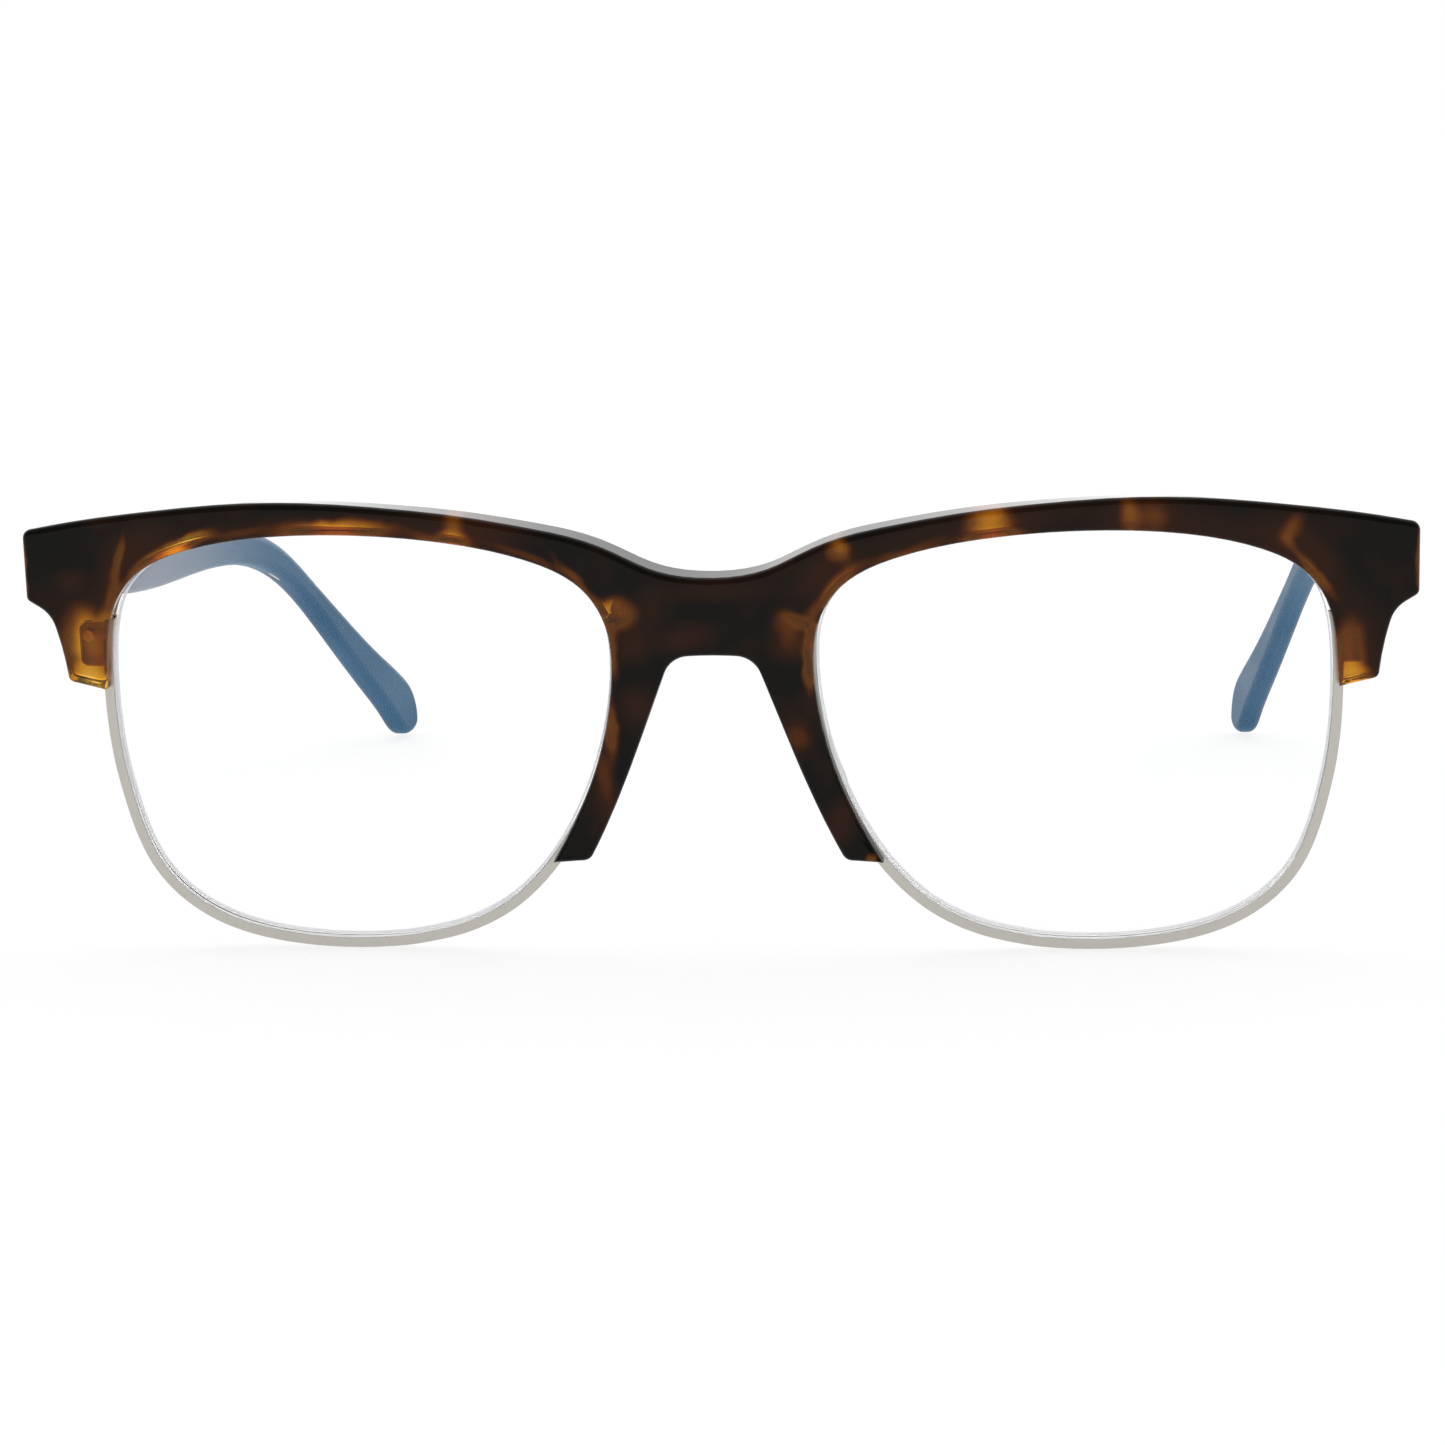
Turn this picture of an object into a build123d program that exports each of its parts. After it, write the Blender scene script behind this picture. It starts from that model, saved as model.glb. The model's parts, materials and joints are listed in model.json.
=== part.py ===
from build123d import *
import os
from math import asin, atan2, cos, degrees, radians, sin

# Half rim eyeglasses. An acetate brow front carries two lenses; a metal half rim under each lens is
# screwed to the back of the front, and two acetate temples fold on five-knuckle hinges.
# Everything is drawn in the front's own frame, in mm: X across the face, Y back towards the ears,
# Z up along the front, with the front's foremost point at the origin of X and Y. place() then leans
# the glasses onto the surface they stand on. The right-hand side (+X) is drawn, the left mirrored.

# ---- front ----
FRONT_RADIUS = 833.0          # horizontal wrap of the whole front
FRONT_DEPTH = 4.0             # acetate sheet
FRONT_EDGE = 0.6              # rounding of the front face's edges
BACK_EDGE = 0.4
HALF_WIDTH = 71.2

# ---- rim, lens and the grooves that hold the lens ----
RIM_WIDTH = 1.0               # seen from the front
RIM_FRONT, RIM_BACK = 1.5, 3.7        # depths behind the front face
RIM_TOP = 10.2                # the rim's two ends stop here, behind the acetate
LENS_DEPTH = 0.55             # lens vertex behind the front face
LENS_THICKNESS = 2.0
LENS_RADIUS = 260.0           # front curve of the lens
LENS_BEVEL = 0.2              # flat ground round the edge of the lens's back
LENS_CENTRE = (36.9, -2.2)
GROOVE_FRONT, GROOVE_BACK = 2.2, 2.95
GROOVE_REACH = 0.65           # how far the groove goes out past the eye shape
TONGUE_GAP = 0.08             # lens edge to groove, all round
LENS_GAP = 0.12               # lens body inside the eye shape
CHANNEL_GAP = 0.06            # rim to acetate

# ---- rim fixings ----
TAB_FRONT = 2.9               # the tabs reach from here back to RIM_BACK
TAB_SIZE, TAB_CORNER = (3.0, 4.5), 0.7
TAB_FROM_SCREW = (-0.45, -1.15)       # the temporal tab's middle, from its screw
LUG_RADIUS = 1.45             # the eye round the nasal screw
LUG_ARM_END, LUG_ARM_WIDTH = (11.0, 8.9), 1.7
TAB_GAP = 0.12                # tab and lug to the acetate
TEMPORAL_SCREW = (65.0, 8.45)
NASAL_SCREW = (8.9, 11.3)
RIM_SCREW_SHANK, RIM_SCREW_HEAD = 0.6, 1.05
RIM_SCREW_TIP = 1.3           # depth of the screw's end behind the front face
RIM_SCREW_HEAD_HEIGHT = 0.45
RIM_SCREW_SLOT, RIM_SCREW_SLOT_DEPTH = 0.3, 0.4       # its width, and twice its depth
RIM_SCREW_GAP = 0.05          # screw to the rim
THREAD_GAP = 0.02             # screw to the acetate that it bites into

# ---- hinge ----
PIVOT = (65.3, 8.7, 15.2)     # middle of the knuckles
TEMPLE_DROP = 9.3             # degrees the temples fall away behind the front; tilts the hinge too
KNUCKLE_RADIUS = 1.35
KNUCKLE = 1.3                 # height of one of the five knuckles
KNUCKLE_GAP = 0.04
HINGE_SCREW = 0.5             # shank radius
HINGE_SCREW_HEAD, HINGE_SCREW_HEAD_HEIGHT = 0.95, 0.5
SCREW_FIT = 0.05              # radial clearance in the moving knuckles
PLATE = 0.8                   # thickness of both hinge plates
FRONT_PLATE = (5.6, 6.4)
FRONT_PLATE_SHIFT = (0.2, 0.3)        # its middle, from the middle of the knuckles, in x and z
TEMPLE_PLATE = (8.0, 5.6)
PLATE_GAP = 0.04              # hinge plates to the acetate
STUD_RADIUS, STUD_LENGTH = 0.7, 1.4   # studs that anchor the front leaf
STUD_OFF = (0.9, 1.9)         # stud from the middle of the plate, in x and z
FRONT_WEB = 2.2               # width of the webs that carry the front knuckles

# ---- temple ----
BUTT_GAP = 0.1                # open temple's end to the back of the front
TEMPLE_EDGE = 1.05            # rounding of the temple's long edges
CORE_RADIUS = 0.6
CORE_GAP = 0.03               # core wire to the acetate

# ---- nose pad ----
PAD_LENGTH, PAD_THICKNESS = 9.8, 2.2
PAD_START = (10.1, 3.0, -4.7)         # middle of its buried front end
PAD_REACH = 5.2                       # from that end back
PAD_TILT = 69                         # degrees of its long side from level
PAD_FLARE = 8                         # degrees it turns outwards as it goes back
PAD_EDGE = 0.8

# The front's outline on the right, as (x, z). TOP is the upper edge of its back face: the top face
# rises from there to the front. The rest is the end piece, its side and foot, the lens side from the
# foot over the lens and down the nose leg, and the leg's nose side.
TOP = [(0, 15.0), (6, 15.93), (10, 17.8), (14, 19.24), (18, 20.1), (26, 21.37), (34, 22.08),
       (42, 22.37), (50, 21.99), (58, 21.08), (66, 19.95), (HALF_WIDTH, 18.95)]
TOP_SLOPE = 0.24              # the top face's slope at the end pieces; level at the bridge
TOP_SLOPE_X = 54.0            # where it reaches that slope
TOP_CORNER = 1.0              # rounding of the end pieces' upper corners
END_PIECE = [(HALF_WIDTH, 12.35), (68.8, 10.9)]
END_SIDE = [(68.8, 10.9), (67.85, 7.6), (67.25, 3.75)]
FOOT = [(67.25, 3.75), (63.3, 2.85)]
LENS_SIDE = [(63.3, 2.85), (63.05, 5.7), (62.75, 8.9), (61.86, 11.98), (59.44, 15.12), (55, 17.38),
             (49, 18.77), (40, 19.43), (28, 18.78), (19, 16.93), (13, 13.7), (10.9, 10.2),
             (10.32, 6), (10.97, 0), (12.2, -4.8), (14.3, -10), (17.05, -15.15)]
NOSE_SIDE = [(13.2, -14.85), (9.93, -8), (6.8, 0), (4.26, 6.7)]
BRIDGE_UNDER = 6.9
# Corner roundings of the outline: (x, z) of the corner, radius.
CORNERS = [((HALF_WIDTH, 12.35), 0.7), ((68.8, 10.9), 3.4), ((67.25, 3.75), 0.7),
           ((13.2, -14.85), 1.2), ((4.26, 6.7), 2.8)]

# The eye shape: the inner edge of the rim, closed over the brow by the acetate's edge.
EYE = [(40, 19.5), (31, 19.15), (22, 17.8), (16, 15.75), (12.75, 13.4), (10.9, 10.0), (10.45, 6.0),
       (11.05, 0.0), (14.6, -10.5), (17.8, -15.6), (23.3, -20.55), (30.5, -23.2), (38.2, -23.95),
       (46, -23.4), (53, -21.25), (58.4, -16.6), (61.1, -10.0), (62.4, -3.3), (62.75, 3.0),
       (62.4, 9.0), (61.4, 12.5), (59.35, 15.15), (55.3, 17.35), (48.5, 18.9)]
EYE_STEPS = 12                # points on each quarter of an outline drawn beside the eye shape

# The temple's side outline from the lower corner of its butt round the tip to the upper corner, as
# (y, z) from the pivot, with y along the shaft and z along the hinge pin.
TEMPLE_SIDE = [(-4.0, -3.2), (12, -4.5), (25, -5.4), (42, -5.8), (58, -5.5), (70, -5.6), (80, -6.3),
               (90, -8.1), (99, -11.0), (114, -18.4), (130, -27.1), (138.5, -31.9), (143.5, -34.1),
               (146.9, -32.9), (146.4, -29.9), (141, -25.7), (131, -21.6), (118, -15.9),
               (104, -9.6), (92, -4.8), (80, -2.2), (60, -0.5), (38, 0.7), (15, 2.1), (-4.0, 3.2)]
# The temple's two faces seen from above, as (x, y) from the pivot.
TEMPLE_INNER = [(1.5, 20), (0.8, 50), (-0.8, 75), (-3.4, 101), (-7.5, 131), (-10.8, 152)]
TEMPLE_OUTER = [(5.3, 14), (4.3, 50), (2.3, 75), (-0.5, 101), (-4.7, 131), (-8.0, 152)]
# The core wire's corners inside the temple, as (x, y, z) from the pivot, with its bend radii.
CORE_PATH = [(3.4, 9.0, -0.9), (2.6, 50, -2.7), (0.7, 78, -4.1), (-2.3, 103, -11.1),
             (-6.0, 130, -24.4)]
CORE_BENDS = [120.0, 60.0, 60.0]


def at(points):
    """Outline points in the front's plane."""
    return [(x, 0, z) for x, z in points]


def mirrored(points):
    return [(-x, z) for x, z in points]


def behind(depth):
    """All the space behind the surface that lies a depth behind the front face."""
    return Pos(0, FRONT_RADIUS, 0) * Cylinder(FRONT_RADIUS - depth, 120)


def layer(near, far):
    """The curved layer between two depths behind the front face."""
    return behind(near) - behind(far)


def through(face):
    """An outline taken straight through the front."""
    return extrude(face, 25, dir=(0, 1, 0), both=True)


def skin_y(x, depth):
    """Where the surface at a depth behind the front face lies at one x."""
    radius = FRONT_RADIUS - depth
    return FRONT_RADIUS - radius * cos(asin(x / radius))


def front_outline():
    """The acetate front seen from the front, with its corners rounded and its top left open."""
    above = TOP[-1][1] + 10
    bridge_end = NOSE_SIDE[-1]
    under = ThreePointArc(*at([bridge_end, (0, BRIDGE_UNDER), (-bridge_end[0], bridge_end[1])]))
    edges = [Line(*at([(-HALF_WIDTH, above), (HALF_WIDTH, above)])), under]
    for turn in (list, mirrored):
        edges += [Polyline(*at(turn([(HALF_WIDTH, above)] + END_PIECE))), Spline(*at(turn(END_SIDE))),
                  Line(*at(turn(FOOT))), Spline(*at(turn(LENS_SIDE))),
                  Line(*at(turn([LENS_SIDE[-1], NOSE_SIDE[0]]))), Spline(*at(turn(NOSE_SIDE)))]
    face = make_face(edges)
    for (x, z), radius in CORNERS:
        corner = [v for v in face.vertices() if abs(abs(v.X) - x) < 0.05 and abs(v.Z - z) < 0.05]
        face = fillet(corner, radius)
    return face


def top_cutter():
    """All that lies above the front's top face, which is ruled from front to back."""
    faces = []
    for y in (-2.0, 10.0):
        line = []
        for x, z in TOP:
            slope = TOP_SLOPE * min(1, (x / TOP_SLOPE_X) ** 2)
            line.append((x, z + slope * (skin_y(x, FRONT_DEPTH - BACK_EDGE) - y)))
        end = (HALF_WIDTH + 4, line[-1][1] + 4 * (line[-1][1] - line[-2][1]) / (line[-1][0] - line[-2][0]))
        line.append(end)
        line = [(x, y, z) for x, z in mirrored(line[::-1]) + line[1:]]
        corners = [line[-1], (end[0], y, 50), (-end[0], y, 50), line[0]]
        faces.append(make_face([Spline(*line), Polyline(*corners)]))
    return loft(faces, ruled=True)


def eye_shape(grow=0.0):
    """The eye shape, or one that lies evenly outside it, as four splines end to end."""
    curve = Spline(*at(EYE), periodic=True)
    steps = EYE_STEPS

    def outside(share):
        along = curve % share
        return curve @ share + Vector(along.Z, 0, -along.X) * grow

    edges = []
    for quarter in range(4):
        shares = [(quarter + k / steps) / 4 for k in range(steps + 1)]
        ends = (curve % shares[0], curve % shares[-1])
        edges.append(Spline(*[outside(share) for share in shares], tangents=ends))
    return make_face(edges)


def disc(centre, radius):
    """A round outline in the front's plane."""
    x, z = centre
    return Pos(x, 0, z) * Rot(90, 0, 0) * Circle(radius)


def tab_outline(grow=0.0):
    """The plate at the rim's temporal end, seen from the front."""
    x, z = TEMPORAL_SCREW
    dx, dz = TAB_FROM_SCREW
    width, height = TAB_SIZE
    return Pos(x + dx, 0, z + dz) * Rot(90, 0, 0) * RectangleRounded(
        width + 2 * grow, height + 2 * grow, TAB_CORNER + grow)


def lug_outline(grow=0.0):
    """The eye at the rim's nasal end and the arm that carries it, seen from the front."""
    x, z = NASAL_SCREW
    end_x, end_z = LUG_ARM_END
    length = ((end_x - x) ** 2 + (end_z - z) ** 2) ** 0.5
    turn = degrees(atan2(end_z - z, end_x - x))
    slot = Rot(0, -turn, 0) * Rot(90, 0, 0) * SlotCenterToCenter(length, LUG_ARM_WIDTH + 2 * grow)
    arm = Pos((x + end_x) / 2, 0, (z + end_z) / 2) * slot
    return disc(NASAL_SCREW, LUG_RADIUS + grow) + arm


def make_rim():
    """Grooved eyewire round the lower part of the lens, with a screwed plate or eye at each end."""
    wire = through(eye_shape(RIM_WIDTH)) - through(eye_shape())
    wire &= layer(RIM_FRONT, RIM_BACK)
    wire -= through(eye_shape(GROOVE_REACH)) & layer(GROOVE_FRONT, GROOVE_BACK)
    wire &= Pos(36, 0, RIM_TOP - 50) * Box(80, 60, 100)
    ends = through(tab_outline()) + through(lug_outline())
    ends = (ends & layer(TAB_FRONT, RIM_BACK)) - through(eye_shape())
    rim = wire + ends
    for centre in (TEMPORAL_SCREW, NASAL_SCREW):
        spot_face = extrude(disc(centre, RIM_SCREW_HEAD + RIM_SCREW_GAP), -5)
        rim -= through(disc(centre, RIM_SCREW_SHANK + RIM_SCREW_GAP))
        rim -= Pos(0, skin_y(centre[0], RIM_BACK), 0) * spot_face
    return rim


def make_lens():
    """Meniscus lens whose edge carries a tongue for the groove."""
    x, z = LENS_CENTRE
    turn = asin(x / FRONT_RADIUS)
    vertex = skin_y(x, LENS_DEPTH)
    centre = Pos(x - LENS_RADIUS * sin(turn), vertex + LENS_RADIUS * cos(turn), z)
    shell = centre * Sphere(LENS_RADIUS) - centre * Sphere(LENS_RADIUS - LENS_THICKNESS)
    body = shell & through(eye_shape(-LENS_GAP))
    back = body.faces().sort_by(SortBy.AREA)[-2:].sort_by(Axis.Y)[-1]
    body = chamfer(back.edges(), LENS_BEVEL)
    tongue = through(eye_shape(GROOVE_REACH - TONGUE_GAP)) - through(eye_shape(-1.0))
    tongue &= layer(GROOVE_FRONT + TONGUE_GAP, GROOVE_BACK - TONGUE_GAP)
    return body + tongue


def make_rim_screw(centre):
    """Slotted screw through the rim's end into the acetate, driven from behind."""
    x, z = centre
    start, seat = skin_y(x, RIM_SCREW_TIP), skin_y(x, RIM_BACK)
    shank = Pos(x, (start + seat) / 2, z) * Rot(90, 0, 0) * Cylinder(RIM_SCREW_SHANK, seat - start)
    head = Pos(x, seat + RIM_SCREW_HEAD_HEIGHT / 2, z) * Rot(90, 0, 0) * Cylinder(
        RIM_SCREW_HEAD, RIM_SCREW_HEAD_HEIGHT)
    slot = Pos(x, seat + RIM_SCREW_HEAD_HEIGHT, z) * Rot(0, 35, 0) * Box(3, RIM_SCREW_SLOT_DEPTH, RIM_SCREW_SLOT)
    return shank + head - slot


def hinge_frame():
    """The hinge's own frame: origin in the middle of the knuckles, z along the pin."""
    return Pos(*PIVOT) * Rot(-TEMPLE_DROP, 0, 0)


def knuckles(levels, bore):
    """Barrels of one hinge leaf, on levels counted from the middle one."""
    height = KNUCKLE - 2 * KNUCKLE_GAP
    barrels = [Pos(0, 0, k * KNUCKLE) * (Cylinder(KNUCKLE_RADIUS, height) - Cylinder(bore, height))
               for k in levels]
    return barrels


def front_plate(grow=0.0):
    """The leaf's flat plate, let in flush with the back of the end piece."""
    width, height = FRONT_PLATE
    dx, dz = FRONT_PLATE_SHIFT
    x = PIVOT[0] + dx
    turn = degrees(asin(x / FRONT_RADIUS))
    return Pos(x, skin_y(x, FRONT_DEPTH) - PLATE / 2, PIVOT[2] + dz) * Rot(0, 0, turn) * Box(
        width + 2 * grow, PLATE, height + 2 * grow)


def anchors(grow=0.0):
    """Two studs of the front leaf, sunk into the acetate."""
    x = PIVOT[0] + FRONT_PLATE_SHIFT[0]
    y = skin_y(x, FRONT_DEPTH) - PLATE
    dx, dz = STUD_OFF
    stud = Rot(90, 0, 0) * Cylinder(STUD_RADIUS + grow, STUD_LENGTH)
    return [Pos(x + dx, y - 0.5, PIVOT[2] + rise) * stud for rise in (-dz, dz)]


def make_front_hinge():
    """Front leaf: plate and studs in the acetate, three knuckles on webs."""
    leaf = front_plate() + anchors()
    reach = PIVOT[1] - skin_y(PIVOT[0], FRONT_DEPTH) + 0.4
    for k in (-2, 0, 2):
        height = KNUCKLE - 2 * KNUCKLE_GAP
        web = Pos(0, -reach / 2 - 0.3, k * KNUCKLE) * Box(FRONT_WEB, reach, height)
        leaf += (hinge_frame() * web) & behind(FRONT_DEPTH - 0.01)
    bore = HINGE_SCREW + 0.02
    for barrel in knuckles((-2, 0, 2), bore):
        leaf += hinge_frame() * barrel
    return leaf - hinge_frame() * Cylinder(bore, 5 * KNUCKLE)


def temple_plate(grow=0.0):
    """The temple leaf's plate, half let into the inner face, and the lug that holds the core wire,
    in the hinge's frame."""
    length, height = TEMPLE_PLATE
    plate = Pos(TEMPLE_INNER[0][0] + 0.1, 1.0 + length / 2, 0) * Box(
        PLATE + 2 * grow, length + 2 * grow, height + 2 * grow)
    x, y, z = CORE_PATH[0]
    lug = Pos((x + TEMPLE_INNER[0][0]) / 2 + 0.4, y - 1, z) * Box(
        x - TEMPLE_INNER[0][0] + 0.8 + 2 * grow, 2 + 2 * grow, 1.8 + 2 * grow)
    return plate + lug


def make_temple_hinge():
    """Temple leaf: plate on the temple's inner face, two knuckles, a socket for the core wire."""
    leaf = temple_plate()
    height = KNUCKLE - 2 * KNUCKLE_GAP
    for k in (-1, 1):
        web = Pos(0.87, 1.6, k * KNUCKLE) * Box(1.14, 3.2, height)
        leaf += web
    for barrel in knuckles((-1, 1), HINGE_SCREW + SCREW_FIT):
        leaf += barrel
    leaf -= Cylinder(HINGE_SCREW + SCREW_FIT, 5 * KNUCKLE)
    return hinge_frame() * leaf


def make_hinge_screw():
    """Pin screw down through all five knuckles, with a slotted head on top."""
    length = 5 * KNUCKLE
    top = length / 2
    shank = Cylinder(HINGE_SCREW, length)
    head = Pos(0, 0, top + 0.05 + HINGE_SCREW_HEAD_HEIGHT / 2) * Cylinder(
        HINGE_SCREW_HEAD, HINGE_SCREW_HEAD_HEIGHT)
    neck = Pos(0, 0, top + 0.025) * Cylinder(HINGE_SCREW, 0.05)
    slot = Pos(0, 0, top + HINGE_SCREW_HEAD_HEIGHT) * Box(3, 0.3, 0.3)
    return hinge_frame() * (shank + neck + head - slot)


def core_wire(grow=0.0):
    """The temple's core: a round wire in straight runs joined by arcs."""
    path = FilletPolyline(*CORE_PATH, radius=CORE_BENDS)
    start = Plane(origin=path @ 0, z_dir=path % 0)
    return sweep(start * Circle(CORE_RADIUS + grow), path=path)


def temple_blank():
    """The temple in the hinge's frame: its side outline cut through its plan outline."""
    side = make_face([Spline(*[(0, y, z) for y, z in TEMPLE_SIDE]),
                      Line((0, *TEMPLE_SIDE[-1]), (0, *TEMPLE_SIDE[0]))])
    start, end = TEMPLE_SIDE[0][0], TEMPLE_INNER[-1]
    inner = [(x, y, 0) for x, y in TEMPLE_INNER]
    outer = [(x, y, 0) for x, y in TEMPLE_OUTER]
    first_in, first_out = (inner[0][0], start, 0), (outer[0][0], start, 0)
    plan = make_face([Line(first_in, inner[0]), Spline(*inner, tangents=[(0, 1, 0), (-0.18, 1, 0)]),
                      Line(inner[-1], outer[-1]),
                      Spline(*outer[::-1], tangents=[(0.18, -1, 0), (0, -1, 0)]),
                      Line(outer[0], first_out), Line(first_out, first_in)])
    bar = extrude(plan, 60, dir=(0, 0, 1), both=True) & extrude(side, 40, dir=(1, 0, 0), both=True)
    long_edges = [e for e in bar.edges() if e.center().Y > start + 1 and e.length > 1.5]
    return fillet(long_edges, TEMPLE_EDGE)


def make_temple():
    """Acetate temple, cut off against the back of the front and hollowed for leaf and core."""
    bar = temple_blank() - temple_plate(PLATE_GAP) - core_wire(CORE_GAP)
    return (hinge_frame() * bar) & behind(FRONT_DEPTH + BUTT_GAP)


def make_nose_pad():
    """Pad bonded to the back of the nose leg; it flares outwards as it goes back."""
    outline = Rot(0, PAD_TILT, 0) * Rot(90, 0, 0) * SlotOverall(PAD_LENGTH, PAD_THICKNESS)
    bar = extrude(Pos(*PAD_START) * Rot(0, 0, -PAD_FLARE) * outline, -PAD_REACH)
    back = bar.faces().sort_by(Axis.Y)[-1]
    return fillet(back.edges(), PAD_EDGE) & behind(FRONT_DEPTH)


def make_front():
    """The acetate front with every groove, channel and pocket that its metalwork needs."""
    slab = (through(front_outline()) & layer(0, FRONT_DEPTH)) - top_cutter()
    at_ends = slab.edges().filter_by(lambda e: abs(abs(e.center().X) - HALF_WIDTH) < 0.1)
    upper = [e for e in at_ends if e.center().Z > 17 and e.bounding_box().size.Y > 3]
    slab = fillet(upper, TOP_CORNER)
    front = slab.faces().sort_by(SortBy.AREA)[-2:].sort_by(Axis.Y)[0]
    slab = fillet(front.edges(), FRONT_EDGE)
    back = slab.faces().sort_by(SortBy.AREA)[-1]
    slab = fillet(back.edges(), BACK_EDGE)
    cuts = []
    channel = through(eye_shape(RIM_WIDTH + CHANNEL_GAP)) & behind(RIM_FRONT - CHANNEL_GAP)
    cuts.append(channel & Pos(36, 0, RIM_TOP + CHANNEL_GAP - 50) * Box(80, 60, 100))
    cuts.append(through(eye_shape(GROOVE_REACH)) & layer(GROOVE_FRONT, GROOVE_BACK))
    ends = through(tab_outline(TAB_GAP)) + through(lug_outline(TAB_GAP))
    cuts.append(ends & behind(TAB_FRONT - 0.05))
    for centre in (TEMPORAL_SCREW, NASAL_SCREW):
        cuts.append(through(disc(centre, RIM_SCREW_SHANK + THREAD_GAP)) & behind(RIM_SCREW_TIP - 0.05))
        cuts.append(through(disc(centre, RIM_SCREW_HEAD + 0.1)) & behind(RIM_BACK - 0.05))
    cuts.append(front_plate(PLATE_GAP))
    cuts += anchors(THREAD_GAP)
    for cut in cuts:
        slab = slab - cut - mirror(cut, about=Plane.YZ)
    return slab


def lean():
    """The angle that brings the rims' lowest points and the temple tips onto one surface."""
    rim_y, rim_z = skin_y(38.2, RIM_BACK), EYE[12][1] - RIM_WIDTH
    y, z = TEMPLE_SIDE[12]
    drop = radians(TEMPLE_DROP)
    tip_y = PIVOT[1] + y * cos(drop) + z * sin(drop)
    tip_z = PIVOT[2] - y * sin(drop) + z * cos(drop)
    return degrees(atan2(rim_z - tip_z, tip_y - rim_y))


right_pieces = {
    "rim": make_rim(),
    "lens": make_lens(),
    "temporal_rim_screw": make_rim_screw(TEMPORAL_SCREW),
    "nasal_rim_screw": make_rim_screw(NASAL_SCREW),
    "nose_pad": make_nose_pad(),
    "front_hinge": make_front_hinge(),
    "hinge_screw": make_hinge_screw(),
    "temple_hinge": make_temple_hinge(),
    "temple": make_temple(),
    "temple_core": hinge_frame() * core_wire(),
}
pieces = {"brow_front": make_front()}
for name, piece in right_pieces.items():
    pieces["right_" + name] = piece
    pieces["left_" + name] = mirror(piece, about=Plane.YZ)

# Stand the glasses on their rims and temple tips, with the origin under the middle of their box.
stand = Rot(lean(), 0, 0)
box = Compound([stand * p.solids()[0] for p in pieces.values()]).bounding_box()
place = Pos(0, -(box.min.Y + box.max.Y) / 2, -box.min.Z) * stand

os.makedirs("parts", exist_ok=True)
for name, piece in pieces.items():
    export_step(place * piece, "parts/" + name + ".step")

pin = place * hinge_frame()
print("lean", lean(), "pivot", pin.position, "pin direction", pin.orientation)
print("box", box.size)
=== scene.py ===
import json
import math

import bpy
from mathutils import Euler, Matrix, Vector

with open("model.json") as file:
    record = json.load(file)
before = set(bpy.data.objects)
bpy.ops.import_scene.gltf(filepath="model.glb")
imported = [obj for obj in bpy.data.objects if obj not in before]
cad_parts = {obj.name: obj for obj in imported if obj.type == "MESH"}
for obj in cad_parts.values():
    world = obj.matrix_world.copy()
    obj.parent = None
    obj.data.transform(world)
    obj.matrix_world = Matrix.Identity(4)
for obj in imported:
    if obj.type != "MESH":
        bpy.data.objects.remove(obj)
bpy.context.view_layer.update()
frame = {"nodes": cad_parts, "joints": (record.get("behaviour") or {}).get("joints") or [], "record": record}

# Half rim eyeglasses: an acetate brow front, metal rims, clear lenses and blue acetate temples.
# The looks are written in the front's own frame, in mm: X across the face, Y back through the
# sheet, Z up along the front. The front leans on the table, so that frame is found from a hinge.
MM = 0.001
HINGE_IN_FRONT = Vector((65.3, 8.7, 15.2))     # middle of the right hinge
TEMPLE_DROP = 9.3                              # degrees the hinge pin leans in the front's frame

# ---- camera, in the front's frame ----
AIM = Vector((0.96, 0, 0))
AZIMUTH, ELEVATION, ROLL = 5.587, 15.45, -1.616
DISTANCE = 450.0
FOCAL_LENGTH, SENSOR_WIDTH = 110.15, 36.0

# ---- floor, backdrop and light ----
FLOOR_SIZE = 6.0
FLOOR_DEPTH = 0.0002                           # below the object's feet
PAPER_SHADES = (0.86, 0.86, 0.86, 1), (0.88, 0.88, 0.88, 1)
GLOW, GLOW_SHARE = 1.05, 0.78                  # of the floor, to keep it white
BACKDROP_IN_FRONT = 0.3                        # brightness of the side behind the camera
SUN_STRENGTH, SUN_WIDTH = 1.5, 110
SUN_TILT = (-38, 6, 0)

# ---- acetate of the front: colours are linear ----
DARK_BROWN, RED_BROWN = (0.0040, 0.0034, 0.0022, 1), (0.042, 0.0115, 0.003, 1)
STREAK_BROWN = (0.07, 0.018, 0.002, 1)
GREY_SPECK = (0.45, 0.44, 0.4, 1)
# From the edge of an amber patch to its middle: how deep in it, colour.
AMBER_STOPS = [(0.2, (0.042, 0.0095, 0.001, 1)), (0.42, (0.15, 0.036, 0.001, 1)),
               (0.62, (0.33, 0.102, 0.001, 1)), (0.84, (0.57, 0.225, 0.004, 1)),
               (1.0, (0.80, 0.46, 0.06, 1))]
AMBER_SOFTNESS, RED_SOFTNESS = 0.85, 0.95      # blur of the patches, as a share of their size
WANDER = 1.1                                   # mm that the patches' edges wander
FRONT_INDEX = 1.3                              # low, to keep the dark areas dark

# ---- acetate of the temples ----
DEEP_BLUE, LIGHT_BLUE = (0.024, 0.104, 0.205, 1), (0.044, 0.134, 0.240, 1)
# Painted reflection: the temples' colour turns paler towards the hinge, standing in for the sheen of their
# inner faces seen at a grazing angle.
PAINTED_SHEEN_BLUE = (0.29, 0.325, 0.385, 1)
PAINTED_SHEEN_END, PAINTED_SHEEN_START, PAINTED_SHEEN_SHARE = 98, 42, 0.82  # mm behind the front where the painted reflection ends and where it is full
GREY_DRIFT = (0.09, 0.10, 0.14, 1)
PALE_SPECK = (0.6, 0.65, 0.7, 1)
TEMPLE_INDEX = 1.49

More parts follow.
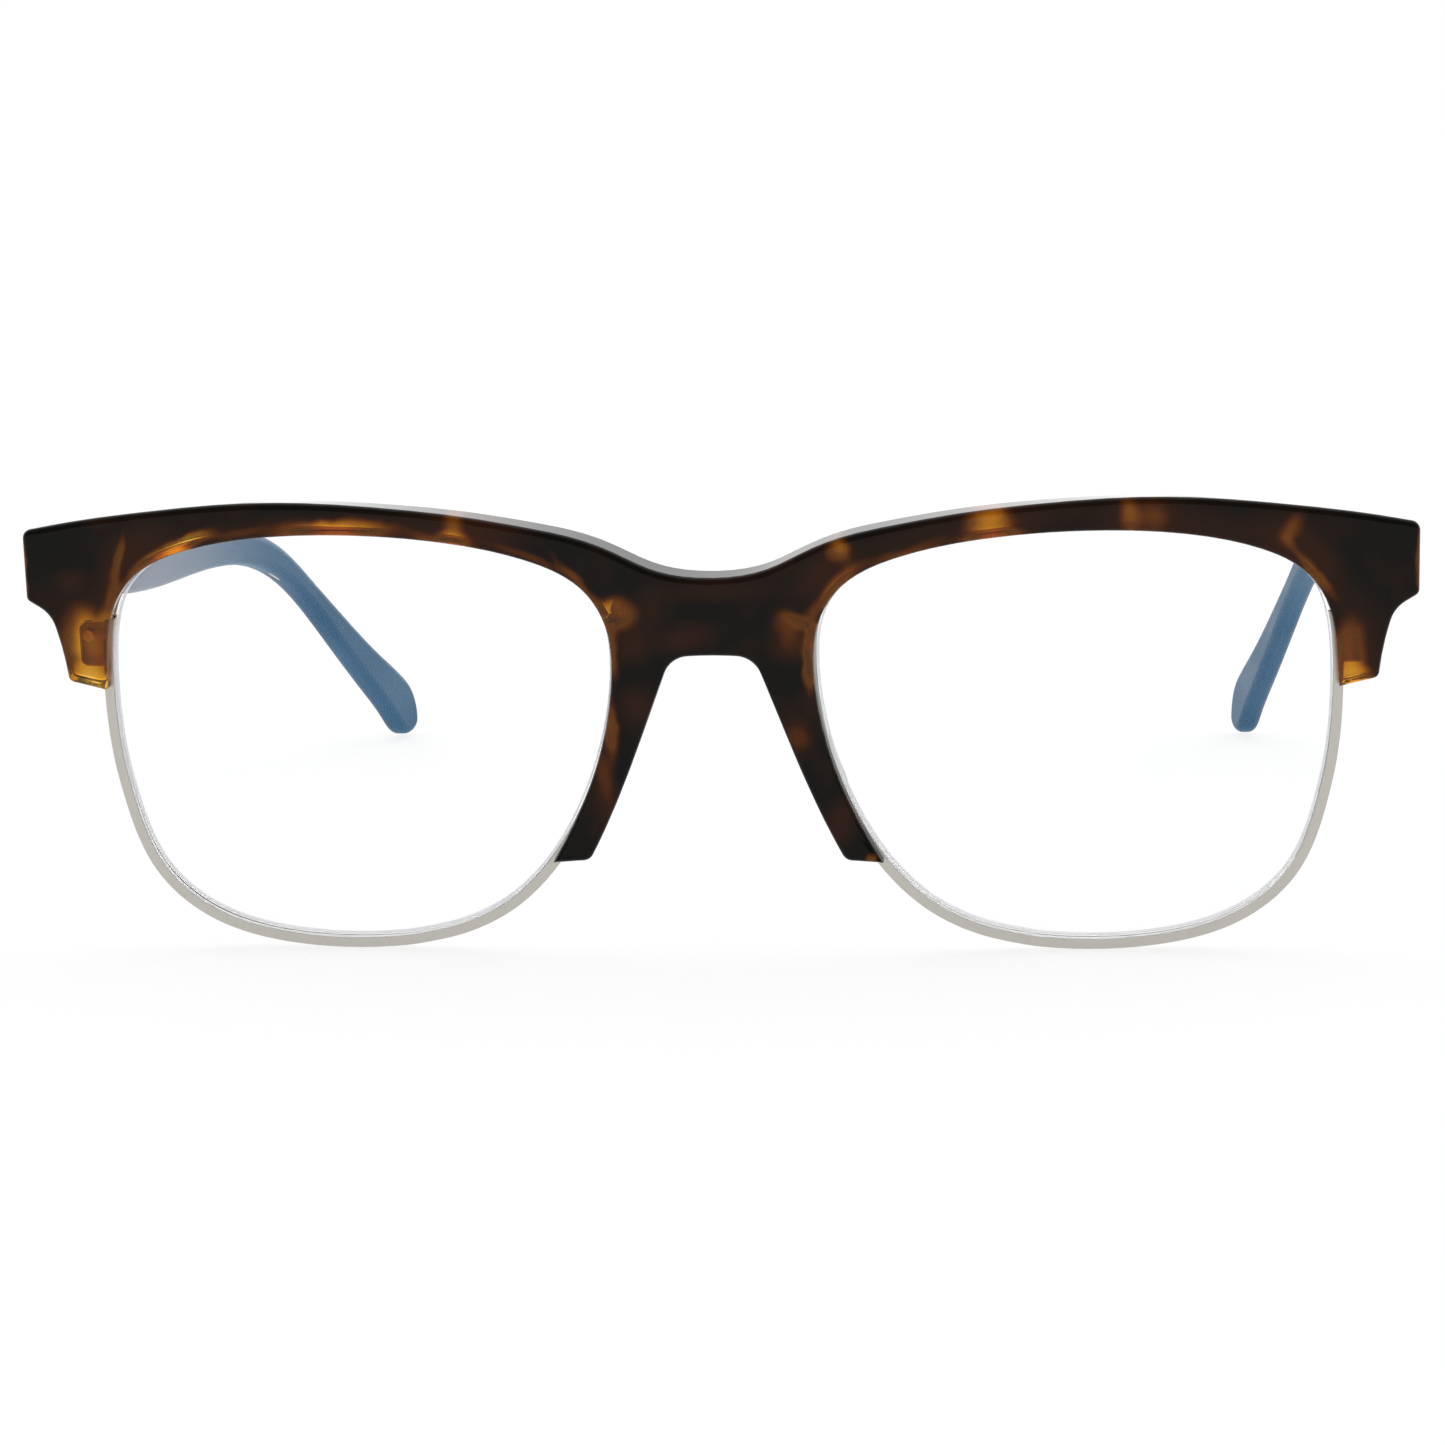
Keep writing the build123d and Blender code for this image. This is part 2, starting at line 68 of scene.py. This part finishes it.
# ---- lenses ----
LENS_INDEX = 1.22                              # stands for the anti-reflection coating
CLEAN, SMEARED = (0.998, 0.999, 1.0, 1), (0.986, 0.991, 0.993, 1)
GROUND_EDGE = (0.86, 0.87, 0.90, 1)
FACE_TURN, EDGE_TURN = 0.92, 0.8               # cosines between which a face turns into the edge

# ---- metals: colour, roughness, and the grain's scale along X, Y and Z ----
METALS = {"rim_metal": ((0.53, 0.51, 0.465), 0.30, (1.5, 6, 1.5)),
          "hinge_metal": ((0.68, 0.66, 0.62), 0.26, (4, 4, 0.6)),
          "core_metal": ((0.60, 0.58, 0.55), 0.30, (5, 0.5, 5))}

# ---- tortoise pattern ----
# Each patch: middle (x, z), half length, half width, turn in degrees from level, strength.
AMBER_PATCHES = [
    # left half of the brow, from the end piece to the bridge
    (-55.0, 18.0, 3.9, 0.8, 24, 1.0), (-48.4, 19.7, 2.4, 0.5, 8, 0.4),
    (-38.2, 20.1, 6.0, 1.1, 0, 0.84), (-25.9, 20.4, 1.3, 2.2, 0, 0.5),
    (-26.8, 19.1, 3.0, 0.8, -8, 0.66), (-18.6, 17.5, 4.2, 0.45, -22, 0.42),
    (-12.9, 14.3, 4.2, 0.5, -48, 0.5), (-60.9, 17.4, 0.4, 2.4, -14, 0.5),
    (-62.2, 12.2, 0.7, 4.4, -14, 0.55), (-59.3, 15.4, 2.4, 0.5, 42, 0.52),
    # left rim eye and nose leg
    (-9.5, 11.3, 2.1, 1.7, -8, 0.74), (-10.2, 8.0, 0.7, 3.2, 2, 0.7),
    (-10.5, -0.6, 0.7, 3.0, 2, 0.72), (-11.4, -5.6, 1.0, 3.4, 12, 0.42),
    # left foot of the brow
    (-64.9, 7.2, 2.5, 4.2, 3, 0.94), (-65.0, 3.8, 2.5, 0.9, -10, 1.0),
    # right half of the brow
    (13.1, 17.8, 1.2, 1.4, 30, 0.66), (12.6, 13.8, 3.6, 0.8, 46, 0.62),
    (19.8, 17.6, 4.6, 0.7, 20, 0.46), (28.3, 20.5, 2.4, 1.5, 8, 0.78),
    (28.6, 19.2, 3.4, 0.5, 6, 0.6), (42.1, 20.9, 1.1, 2.1, 0, 0.54),
    (44.6, 20.8, 1.8, 1.8, 0, 0.46), (58.3, 19.2, 1.0, 2.0, -28, 0.5),
    (60.6, 14.9, 0.6, 3.6, 40, 0.62),
    # right rim eye, nose leg and foot
    (7.6, 10.6, 1.4, 1.6, 20, 0.42), (9.6, 10.2, 1.8, 0.6, -24, 0.52),
    (8.2, 8.3, 1.4, 1.5, 0, 0.3), (10.2, 7.0, 0.8, 3.3, -2, 0.94),
    (8.6, -1.6, 1.4, 1.5, 40, 0.4), (15.8, -14.6, 0.6, 0.5, 0, 0.7),
    (64.3, 6.2, 1.6, 3.4, -3, 0.84), (64.7, 3.7, 2.0, 0.9, 10, 0.72),
    # sides of the end pieces
    (-71.2, 15.8, 0.35, 3.8, 0, 0.6), (71.2, 15.8, 0.35, 3.8, 0, 0.6)]
RED_PATCHES = [
    (-66.3, 14.4, 1.4, 1.0, 20, 0.7), (-8.0, 8.4, 1.6, 1.8, 0, 0.8), (-7.6, 1.6, 1.8, 1.8, 20, 0.8),
    (-10.9, -9.0, 1.4, 3.2, 25, 0.9), (-2.6, 8.9, 2.8, 1.2, 10, 0.8), (1.0, 13.8, 5.0, 1.0, 0, 0.6),
    (-6.0, 12.0, 1.4, 2.2, 0, 0.6), (8.2, 8.5, 2.0, 1.8, 0, 0.9), (11.6, 15.4, 3.2, 2.2, 45, 0.9),
    (30.0, 20.6, 5.0, 1.6, 8, 0.8), (43.8, 20.6, 4.6, 2.0, 0, 0.9), (51.0, 19.4, 4.0, 1.6, -8, 0.6),
    (58.0, 17.8, 3.8, 2.2, -25, 0.8), (-58.6, 18.0, 3.6, 2.4, 20, 0.8), (-45.0, 20.0, 9.0, 1.2, 4, 0.6),
    (-24.0, 20.0, 4.4, 2.2, -8, 0.9), (-34.0, 19.8, 9.0, 1.4, 0, 0.6), (-64.8, 6.4, 3.4, 5.4, 3, 0.8),
    (65.2, 6.0, 2.6, 4.8, 0, 0.8), (12.8, -10.6, 1.4, 2.8, -28, 0.8), (8.0, -1.2, 1.8, 2.4, -20, 0.7),
    (60.6, 15.6, 1.8, 4.4, 40, 0.8), (-61.6, 14.0, 1.8, 4.4, -28, 0.8), (20.0, 19.0, 5.0, 1.2, 18, 0.5)]


def radians(degrees):
    return [math.radians(a) for a in degrees]


def front_frame():
    """The matrix that takes the front's frame, in mm, to the row frame, in metres."""
    joint = next(j for j in frame["joints"] if j["name"] == "right_temple_fold")
    pin = Vector(joint["axis"])
    lean = math.radians(TEMPLE_DROP) - math.atan2(pin.y, pin.z)
    turn = Matrix.Rotation(lean, 4, "X")
    move = Matrix.Translation(Vector(joint["pos_m"]) - turn @ (HINGE_IN_FRONT * MM))
    return move @ turn @ Matrix.Scale(MM, 4)


FRONT = front_frame()


class Tree:
    """The node tree of a material or world. Its calls add a node and return one of its outputs."""

    def __init__(self, owner):
        owner.use_nodes = True
        self.owner = owner
        self.tree = owner.node_tree
        self.tree.nodes.clear()

    def add(self, kind, inputs=None, output=0, **settings):
        node = self.tree.nodes.new("ShaderNode" + kind)
        for key, value in settings.items():
            setattr(node, key, value)
        for key, value in (inputs or {}).items():
            socket = node.inputs[key]
            if isinstance(value, bpy.types.NodeSocket):
                self.tree.links.new(value, socket)
            else:
                socket.default_value = value
        return node.outputs[output]

    def math(self, operation, *values):
        return self.add("Math", dict(enumerate(values)), operation=operation)

    def vector(self, operation, first, second):
        return self.add("VectorMath", {0: first, 1: second}, operation=operation)

    def mix_colour(self, share, first, second):
        return self.add("Mix", {0: share, 6: first, 7: second}, output=2, data_type="RGBA")

    def steps(self, value, low, high, to_low=0.0, to_high=1.0):
        """A smooth step of a value from low to high."""
        limits = {"Value": value, "From Min": low, "From Max": high, "To Min": to_low, "To Max": to_high}
        return self.add("MapRange", limits, interpolation_type="SMOOTHSTEP")

    def noise(self, place, scale, detail=2.0, output=0):
        return self.add("TexNoise", {"Vector": place, "Scale": scale, "Detail": detail}, output=output)

    def bump(self, height, strength, distance):
        return self.add("Bump", {"Height": height, "Strength": strength, "Distance": distance})

    def surface(self, shader, output="OutputMaterial"):
        out = self.tree.nodes.new("ShaderNode" + output)
        self.tree.links.new(shader, out.inputs["Surface"])
        return self.owner


def new_material(name):
    return Tree(bpy.data.materials.new(name))


def front_place(t):
    """Each point's place in the front's frame, in mm."""
    spot = t.add("TexCoord", output=3)
    return t.add("Mapping", {"Vector": spot, "Location": FRONT.to_translation(),
                             "Rotation": FRONT.to_euler(), "Scale": (MM, MM, MM)}, vector_type="TEXTURE")


def stretched(t, place, scale, turn=(0, 0, 0)):
    return t.add("Mapping", {"Vector": place, "Scale": scale, "Rotation": radians(turn)},
                 vector_type="POINT")


def patches(t, place, listed, softness):
    """How strongly a point lies in any of the listed patches, from 0 to 1."""
    outside = 1.0
    for x, z, half_long, half_wide, turn, strength in listed:
        inside = t.add("Mapping", {"Vector": place, "Location": (x, 0, z),
                                   "Rotation": (0, -math.radians(turn), 0),
                                   "Scale": (half_long, 1000, half_wide)}, vector_type="TEXTURE")
        reach = t.add("VectorMath", {0: inside}, output=1, operation="LENGTH")
        clear = t.steps(reach, 1 + softness, 1 - softness, 1.0, 1 - strength)
        outside = t.math("MULTIPLY", outside, clear)
    return t.math("SUBTRACT", 1.0, outside)


def dust(t, place, scale, size):
    """Sparse small specks: 1 inside a speck."""
    near = t.add("TexVoronoi", {"Vector": place, "Scale": scale})
    chance = t.add("TexVoronoi", {"Vector": place, "Scale": scale}, output=1)
    picked = t.math("GREATER_THAN", t.add("SeparateColor", {0: chance}), 0.86)
    return t.math("MULTIPLY", t.math("LESS_THAN", near, size), picked)


def amber_colour(t, depth):
    """The amber's colour by the depth in a patch."""
    ramp = t.add("ValToRGB", {0: depth})
    stops = ramp.node.color_ramp.elements
    stops[0].position, stops[0].color = AMBER_STOPS[0]
    stops[1].position, stops[1].color = AMBER_STOPS[-1]
    for position, shade in AMBER_STOPS[1:-1]:
        stops.new(position).color = shade
    return ramp


def tortoise_colour(t, place, amber, red):
    """Dark brown with clouds and patches of red, amber with darker streaks, and a few specks."""
    cloud = t.steps(t.noise(place, 0.16, 2.5), 0.45, 0.75)
    red = t.math("MAXIMUM", t.math("MULTIPLY", red, 0.9), t.math("MULTIPLY", cloud, 0.4))
    dark = t.mix_colour(red, DARK_BROWN, RED_BROWN)
    streaks = t.noise(stretched(t, place, (0.5, 0.4, 0.3), (0, 20, 0)), 1.0)
    streaks = t.steps(streaks, 0.3, 0.7, 0.84, 1.0)
    light = t.mix_colour(streaks, STREAK_BROWN, amber_colour(t, amber))
    colour = t.mix_colour(t.steps(amber, 0.0, 0.62), dark, light)
    return t.mix_colour(t.math("MULTIPLY", dust(t, place, 0.42, 0.035), 0.4), colour, GREY_SPECK)


def tortoise():
    """Near-black brown acetate with soft-edged patches of see-through amber."""
    t = new_material("tortoise_acetate")
    place = front_place(t)
    wander = t.vector("SUBTRACT", t.noise(place, 0.35, 1.5, output=1), (0.5, 0.5, 0.5))
    soft_place = t.vector("ADD", place, t.vector("MULTIPLY", wander, (WANDER, WANDER, WANDER)))
    amber = patches(t, soft_place, AMBER_PATCHES, AMBER_SOFTNESS)
    red = patches(t, soft_place, RED_PATCHES, RED_SOFTNESS)
    haze = t.noise(place, 6.0, 5.0)
    shader = t.add("BsdfPrincipled", {
        "Base Color": tortoise_colour(t, place, amber, red), "IOR": FRONT_INDEX,
        "Roughness": t.steps(haze, 0.3, 0.7, 0.08, 0.14), "Specular IOR Level": 0.27,
        "Transmission Weight": t.math("MULTIPLY", t.steps(amber, 0.2, 0.9), 0.94),
        "Normal": t.bump(t.noise(place, 1.2, 1.0), 0.03, 0.00003)})
    return t.surface(shader)


def blue_colour(t, place):
    """Slate blue with lighter clouds, a painted reflection that makes it paler towards the hinge, grey
    drifts and a few specks.
    """
    cloud = t.steps(t.noise(stretched(t, place, (0.11, 0.022, 0.09)), 1.0, 1.5), 0.32, 0.7)
    colour = t.mix_colour(cloud, DEEP_BLUE, LIGHT_BLUE)
    away = t.add("SeparateXYZ", {0: place}, output=1)
    # Painted reflection: paler towards the hinge, standing in for the grazing sheen there.
    colour = t.mix_colour(t.steps(away, PAINTED_SHEEN_END, PAINTED_SHEEN_START, 0.0, PAINTED_SHEEN_SHARE), colour, PAINTED_SHEEN_BLUE)
    drift = t.noise(stretched(t, place, (0.07, 0.02, 0.1), (9, 0, 0)), 1.0, 1.0)
    colour = t.mix_colour(t.math("MULTIPLY", t.steps(drift, 0.56, 0.8), 0.25), colour, GREY_DRIFT)
    return t.mix_colour(t.math("MULTIPLY", dust(t, place, 0.5, 0.04), 0.6), colour, PALE_SPECK)


def blue_acetate():
    """Milky acetate of the temples, softly polished, with a painted reflection towards the hinge in its
    colour.
    """
    t = new_material("blue_acetate")
    place = front_place(t)
    polish = t.noise(stretched(t, place, (0.2, 0.02, 0.2)), 1.0, 1.0)
    shader = t.add("BsdfPrincipled", {
        "Base Color": blue_colour(t, place), "Roughness": t.steps(polish, 0.3, 0.7, 0.27, 0.32),
        "IOR": TEMPLE_INDEX, "Specular IOR Level": 0.03, "Normal": t.bump(polish, 0.04, 0.00003)})
    return t.surface(shader)


def metal(name):
    """Fine brushed metal."""
    colour, roughness, grain = METALS[name]
    t = new_material(name)
    lines = t.noise(stretched(t, front_place(t), grain), 1.0)
    shader = t.add("BsdfPrincipled", {
        "Base Color": t.vector("MULTIPLY", colour, t.steps(lines, 0.3, 0.7, 0.97, 1.0)),
        "Metallic": 1.0, "IOR": 2.5, "Normal": t.bump(lines, 0.02, 0.00001),
        "Roughness": t.steps(lines, 0.25, 0.75, roughness - 0.02, roughness + 0.03)})
    return t.surface(shader)


def lens_glass():
    """Clear lens, faintly smeared, with a ground edge."""
    t = new_material("lens")
    smear = t.steps(t.noise(front_place(t), 0.12, 3.0), 0.35, 0.75)
    through = FRONT.to_3x3().col[1].normalized()
    facing = t.add("VectorMath", {0: t.add("TexCoord", output=1), 1: through}, output=1,
                   operation="DOT_PRODUCT")
    ground = t.steps(t.math("ABSOLUTE", facing), FACE_TURN, EDGE_TURN)
    shader = t.add("BsdfPrincipled", {
        "Base Color": t.mix_colour(ground, t.mix_colour(smear, CLEAN, SMEARED), GROUND_EDGE),
        "IOR": LENS_INDEX, "Roughness": t.math("MULTIPLY", ground, 0.6), "Specular IOR Level": 0.5,
        "Transmission Weight": t.steps(ground, 0.0, 1.0, 1.0, 0.5)})
    return t.surface(shader)


def dress():
    """Gives every CAD node the material of its slot."""
    looks = {"tortoise_acetate": tortoise(), "blue_acetate": blue_acetate(), "lens": lens_glass()}
    looks.update({name: metal(name) for name in METALS})
    for part in frame["record"]["subparts"]:
        node = frame["nodes"][part["node"]]
        node.data.materials.clear()
        node.data.materials.append(looks[part["material_slot"]])


def backdrop():
    """White all round, but dimmer behind the camera where it lights or is reflected."""
    world = bpy.data.worlds.new("studio")
    bpy.context.scene.world = world
    t = Tree(world)
    behind = t.add("SeparateXYZ", {0: t.add("TexCoord")}, output=1)
    shade = t.steps(behind, -0.7, 0.6, BACKDROP_IN_FRONT, 1.0)
    strength = t.math("MAXIMUM", t.add("LightPath"), shade)
    t.surface(t.add("Background", {"Color": (1, 1, 1, 1), "Strength": strength}), "OutputWorld")


def floor():
    """White paper that glows a little, so that it stays white to its far edge."""
    bpy.ops.mesh.primitive_plane_add(size=FLOOR_SIZE, location=(0, 0, -FLOOR_DEPTH))
    sheet = bpy.context.object
    sheet.name = "floor"
    t = new_material("floor")
    paper = t.noise(t.add("TexCoord", output=3), 30.0, 3.0)
    paint = t.add("BsdfDiffuse", {"Color": t.mix_colour(paper, *PAPER_SHADES)})
    glow = t.add("Emission", {"Strength": GLOW})
    sheet.data.materials.append(t.surface(t.add("MixShader", {0: GLOW_SHARE, 1: paint, 2: glow})))


def soft_light():
    sun = bpy.data.lights.new("soft_light", "SUN")
    sun.energy = SUN_STRENGTH
    sun.angle = math.radians(SUN_WIDTH)
    lamp = bpy.data.objects.new("soft_light", sun)
    lamp.rotation_euler = Euler(radians(SUN_TILT))
    bpy.context.scene.collection.objects.link(lamp)


def camera():
    """Camera set by its aim, its two angles and its roll in the front's frame."""
    azimuth, elevation, roll = radians((AZIMUTH, ELEVATION, ROLL))
    back = Vector((math.sin(azimuth) * math.cos(elevation), -math.cos(azimuth) * math.cos(elevation),
                   math.sin(elevation)))
    right = (-back).cross(Vector((0, 0, 1))).normalized()
    up = right.cross(-back)
    side = right * math.cos(roll) + up * math.sin(roll)
    top = up * math.cos(roll) - right * math.sin(roll)
    turn = Matrix((side, top, back)).transposed()
    lens = bpy.data.cameras.new("camera")
    lens.lens = FOCAL_LENGTH
    lens.sensor_width = SENSOR_WIDTH
    eye = bpy.data.objects.new("camera", lens)
    lean = FRONT.to_euler().to_matrix()
    eye.matrix_world = Matrix.Translation(FRONT @ (AIM + back * DISTANCE)) @ (lean @ turn).to_4x4()
    bpy.context.scene.collection.objects.link(eye)
    bpy.context.scene.camera = eye
    bpy.context.scene.view_settings.view_transform = "Standard"


camera()
dress()
backdrop()
floor()
soft_light()
